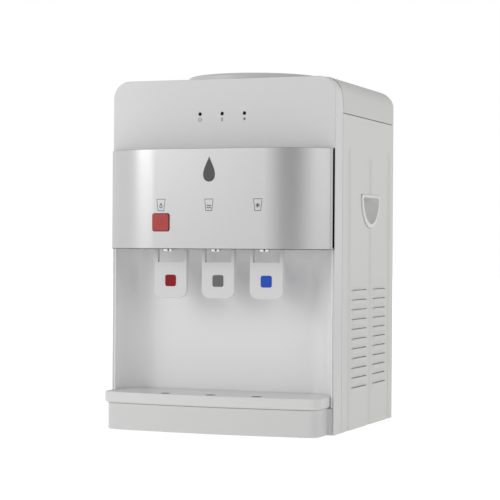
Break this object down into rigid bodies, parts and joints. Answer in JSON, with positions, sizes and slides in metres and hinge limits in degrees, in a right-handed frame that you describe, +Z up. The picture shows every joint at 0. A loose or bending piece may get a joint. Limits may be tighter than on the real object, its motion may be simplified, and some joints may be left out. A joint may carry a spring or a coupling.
{
  "type": "countertop water dispenser",
  "caption": "Countertop water dispenser: bottle seat on top, push-lever taps under a bowed hood, a cup alcove and a pull-out drip tray at the foot.",
  "frame": {"origin": "under the middle of the whole object, on the surface that the feet rest on", "axes": "+Z up, -Y towards the person using the taps, +X to their right"},
  "size_m": [0.343, 0.354, 0.5155],
  "materials": {
    "case_front": "satin white",
    "case_top": "satin white",
    "case_side": "fine texture",
    "grip": "satin",
    "case_rear": "matte",
    "rubber": "matte",
    "splash": "gloss",
    "tray_shelf": "satin",
    "tray": "satin",
    "hood": "silver pearl",
    "button_red": "gloss",
    "bracket_steel": "matte",
    "bright_steel": "ground",
    "fitting_white": "moulded",
    "lamp_lens": "clear dark",
    "circuit_board": "lacquered",
    "collar": "satin",
    "tank_steel": "satin",
    "foam": "foamed",
    "silicone": "smooth",
    "ceramic": "matte",
    "sink_aluminium": "extruded",
    "fan_black": "matte",
    "switch_black": "matte",
    "switch_red": "gloss",
    "switch_green": "gloss",
    "gland_black": "matte",
    "drain_cap": "matte",
    "screw_steel": "zinc plated",
    "chrome": "polished",
    "lever": "gloss",
    "badge_red": "gloss",
    "badge_grey": "gloss",
    "badge_blue": "gloss",
    "spring_steel": "drawn"
  },
  "bodies": {
    "case": {"ambient_hose": "silicone", "ambient_spout": "chrome", "ambient_tap_body": "fitting_white", "ambient_valve_spring": "spring_steel", "base_plate": "case_rear", "case_screws": "screw_steel", "cold_hose": "silicone", "cold_jacket": "foam", "cold_spout": "chrome", "cold_tank": "tank_steel", "cold_tap_body": "fitting_white", "cold_valve_spring": "spring_steel", "cord_gland": "gland_black", "drain_outlet": "fitting_white", "fan_frame": "fan_black", "feed_hose": "silicone", "front_frame": "case_front", "heat_sink": "sink_aluminium", "hot_hose": "silicone", "hot_jacket": "foam", "hot_spout": "chrome", "hot_tank": "tank_steel", "hot_tap_body": "fitting_white", "hot_valve_spring": "spring_steel", "indicator_board": "circuit_board", "indicator_lenses": "lamp_lens", "left_grip_cup": "grip", "left_side_panel": "case_side", "peltier_module": "ceramic", "pivot_pins": "bright_steel", "power_board": "circuit_board", "rear_panel": "case_rear", "right_grip_cup": "grip", "right_side_panel": "case_side", "rubber_feet": "rubber", "splash_panel": "splash", "switch_housings": "switch_black", "tap_bracket": "bracket_steel", "tap_hood": "hood", "tap_nuts": "fitting_white", "top_cover": "case_top", "tray_shelf": "tray_shelf"},
    "safety_button": {"safety_button": "button_red"},
    "drip_tray": {"drip_tray": "tray"},
    "drip_grid": {"drip_grid": "tray"},
    "bottle_seat": {"bottle_collar": "collar", "bottle_probe": "fitting_white"},
    "fan_rotor": {"fan_impeller": "fan_black"},
    "hot_switch": {"hot_switch": "switch_red"},
    "cold_switch": {"cold_switch": "switch_green"},
    "drain_cap": {"drain_cap": "drain_cap"},
    "hot_lever": {"hot_lever": "lever", "hot_badge": "badge_red"},
    "hot_valve_stem": {"hot_valve_stem": "fitting_white"},
    "ambient_lever": {"ambient_lever": "lever", "ambient_badge": "badge_grey"},
    "ambient_valve_stem": {"ambient_valve_stem": "fitting_white"},
    "cold_lever": {"cold_lever": "lever", "cold_badge": "badge_blue"},
    "cold_valve_stem": {"cold_valve_stem": "fitting_white"}
  },
  "joints": [
    {"name": "hot_lever_hinge", "type": "hinge", "parent": "case", "child": "hot_lever", "pos_m": [-0.073, -0.126, 0.294], "axis": [1, 0, 0], "range_deg": [0, 14], "stiffness_Nm_per_rad": 0.6, "springref_deg": -11.46},
    {"name": "hot_stem_slide", "type": "slide", "parent": "case", "child": "hot_valve_stem", "axis": [0, 0, -1], "range_m": [0, 0.0038], "deforming": ["hot_valve_spring"]},
    {"name": "ambient_lever_hinge", "type": "hinge", "parent": "case", "child": "ambient_lever", "pos_m": [0, -0.126, 0.294], "axis": [1, 0, 0], "range_deg": [0, 14], "stiffness_Nm_per_rad": 0.6, "springref_deg": -11.46},
    {"name": "ambient_stem_slide", "type": "slide", "parent": "case", "child": "ambient_valve_stem", "axis": [0, 0, -1], "range_m": [0, 0.0038], "deforming": ["ambient_valve_spring"]},
    {"name": "cold_lever_hinge", "type": "hinge", "parent": "case", "child": "cold_lever", "pos_m": [0.073, -0.126, 0.294], "axis": [1, 0, 0], "range_deg": [0, 14], "stiffness_Nm_per_rad": 0.6, "springref_deg": -11.46},
    {"name": "cold_stem_slide", "type": "slide", "parent": "case", "child": "cold_valve_stem", "axis": [0, 0, -1], "range_m": [0, 0.0038], "deforming": ["cold_valve_spring"]},
    {"name": "safety_button_slide", "type": "slide", "parent": "case", "child": "safety_button", "axis": [0, 1, 0], "range_m": [0, 0.0025], "stiffness_N_per_m": 400, "springref_m": -0.002},
    {"name": "drip_tray_slide", "type": "slide", "parent": "case", "child": "drip_tray", "axis": [0, -1, 0], "range_m": [0, 0.12]},
    {"name": "drip_grid_lift", "type": "slide", "parent": "drip_tray", "child": "drip_grid", "axis": [0, 0, 1], "range_m": [0, 0.06]},
    {"name": "bottle_seat_lift", "type": "slide", "parent": "case", "child": "bottle_seat", "axis": [0, 0, 1], "range_m": [0, 0.12]},
    {"name": "fan_spin", "type": "hinge", "parent": "case", "child": "fan_rotor", "pos_m": [0, 0.147, 0.357], "axis": [0, 1, 0], "continuous": true},
    {"name": "hot_switch_rock", "type": "hinge", "parent": "case", "child": "hot_switch", "pos_m": [0.07, 0.168, 0.097], "axis": [1, 0, 0], "range_deg": [0, 14]},
    {"name": "cold_switch_rock", "type": "hinge", "parent": "case", "child": "cold_switch", "pos_m": [0.1, 0.168, 0.097], "axis": [1, 0, 0], "range_deg": [0, 14]},
    {"name": "drain_cap_pull", "type": "slide", "parent": "case", "child": "drain_cap", "axis": [0, 1, 0], "range_m": [0, 0.03]}
  ],
  "couplings": [
    {"joint": "hot_stem_slide", "follows": "hot_lever_hinge", "m_per_rad": 0.0151},
    {"joint": "ambient_stem_slide", "follows": "ambient_lever_hinge", "m_per_rad": 0.0151},
    {"joint": "cold_stem_slide", "follows": "cold_lever_hinge", "m_per_rad": 0.0151}
  ]
}
